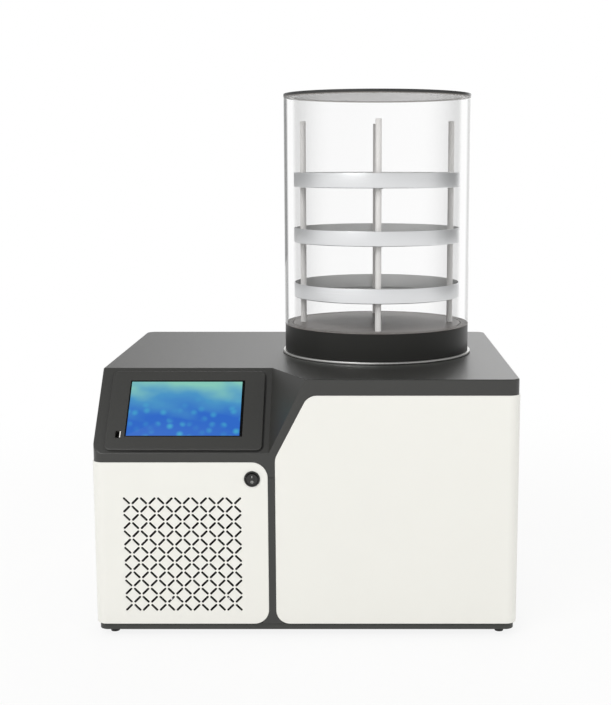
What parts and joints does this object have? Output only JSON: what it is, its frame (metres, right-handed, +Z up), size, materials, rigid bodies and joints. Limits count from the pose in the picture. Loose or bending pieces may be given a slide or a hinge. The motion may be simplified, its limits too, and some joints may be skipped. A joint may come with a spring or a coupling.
{
  "type": "freeze dryer",
  "caption": "Bench-top laboratory freeze dryer: a cabinet with a sloping touch console and vented front, and a clear drying chamber with stacked trays over a refrigerated trap.",
  "frame": {"origin": "on the bench, at the middle of the whole machine's footprint with its rear fittings", "axes": "+Z up from the bench, +X to the right seen from the front, +Y from the front to the rear"},
  "size_m": [0.583, 0.5336, 0.7518],
  "materials": {
    "dark_steel": "fine textured coat",
    "dark_shell": "satin moulded shell",
    "white_sheet": "smooth warm white coat",
    "zinc_steel": "zinc plated",
    "touch_glass": "bonded cover glass over a screen",
    "display_case": "pressed steel case",
    "circuit_board": "solder resist",
    "switch_black": "polished black moulding",
    "collar_black": "satin black moulding",
    "floor_dark": "dark glossy coat",
    "seal_grey": "thin flat gasket",
    "clear_acrylic": "clear polished tube",
    "lid_dark": "polished dark plate",
    "stainless": "brushed stainless",
    "copper": "drawn copper tube",
    "foam": "closed cell foam",
    "compressor_black": "black stove enamel",
    "rubber_black": "matt moulded rubber",
    "fin_black": "black coated fins",
    "fan_plastic": "moulded",
    "brass_plain": "nickel free turned brass",
    "hose_clear": "silicone tube",
    "lever_blue": "dipped lever"
  },
  "bodies": {
    "cabinet": {"base_pan": "dark_steel", "front_pillar": "dark_shell", "left_panel": "white_sheet", "right_panel": "white_sheet", "rear_panel": "white_sheet", "top_cover": "dark_shell", "panel_screws": "zinc_steel", "console_bezel": "dark_shell", "touch_glass": "touch_glass", "display_module": "display_case", "control_board": "circuit_board", "usb_port": "zinc_steel", "power_switch_housing": "switch_black", "chamber_collar": "collar_black", "rack_floor": "floor_dark", "lower_seal": "seal_grey", "chamber_cylinder": "clear_acrylic", "upper_seal": "seal_grey", "chamber_lid": "lid_dark", "rack_rod_right": "stainless", "rack_rod_rear": "stainless", "rack_rod_left": "stainless", "rack_rod_front": "stainless", "tray_bottom": "stainless", "tray_middle": "stainless", "tray_top": "stainless", "rack_clips": "stainless", "cold_trap": "stainless", "trap_flange": "stainless", "evaporator_coil": "copper", "trap_insulation": "foam", "deck_plate": "zinc_steel", "deck_posts": "zinc_steel", "trap_pipes": "stainless", "partition": "zinc_steel", "compressor": "compressor_black", "compressor_grommets": "rubber_black", "condenser": "fin_black", "fan_shroud": "fan_plastic", "fan_motor": "zinc_steel", "filter_drier": "copper", "evaporator_pipes": "copper", "condensate_pipe": "copper", "discharge_pipe": "copper", "vacuum_port": "stainless", "vacuum_gauge": "stainless", "air_valve_body": "brass_plain", "drain_pipe": "hose_clear", "drain_valve_body": "brass_plain", "mains_inlet": "switch_black", "pump_outlet": "switch_black", "power_supply": "zinc_steel", "foot_front_left": "rubber_black", "foot_front_right": "rubber_black", "foot_rear_left": "rubber_black", "foot_rear_right": "rubber_black"},
    "rocker": {"power_rocker": "switch_black"},
    "fan": {"fan_blades": "fan_plastic"},
    "air_knob": {"air_valve_knob": "switch_black"},
    "drain_handle": {"drain_lever": "lever_blue"}
  },
  "joints": [
    {"name": "rocker_tilt", "type": "hinge", "parent": "cabinet", "child": "rocker", "pos_m": [-0.0728, -0.26203, 0.2248], "axis": [-1, 0, 0], "range_deg": [0, 14]},
    {"name": "fan_spin", "type": "hinge", "parent": "cabinet", "child": "fan", "pos_m": [-0.1685, -0.20323, 0.1191], "axis": [0, 1, 0], "continuous": true},
    {"name": "air_knob_turn", "type": "hinge", "parent": "cabinet", "child": "air_knob", "pos_m": [0.1528, 0.23677, 0.2995], "axis": [0, 1, 0], "range_deg": [0, 90]},
    {"name": "drain_lever_turn", "type": "hinge", "parent": "cabinet", "child": "drain_handle", "pos_m": [0.1008, 0.23377, 0.0755], "axis": [0, 0, 1], "range_deg": [0, 90]}
  ]
}
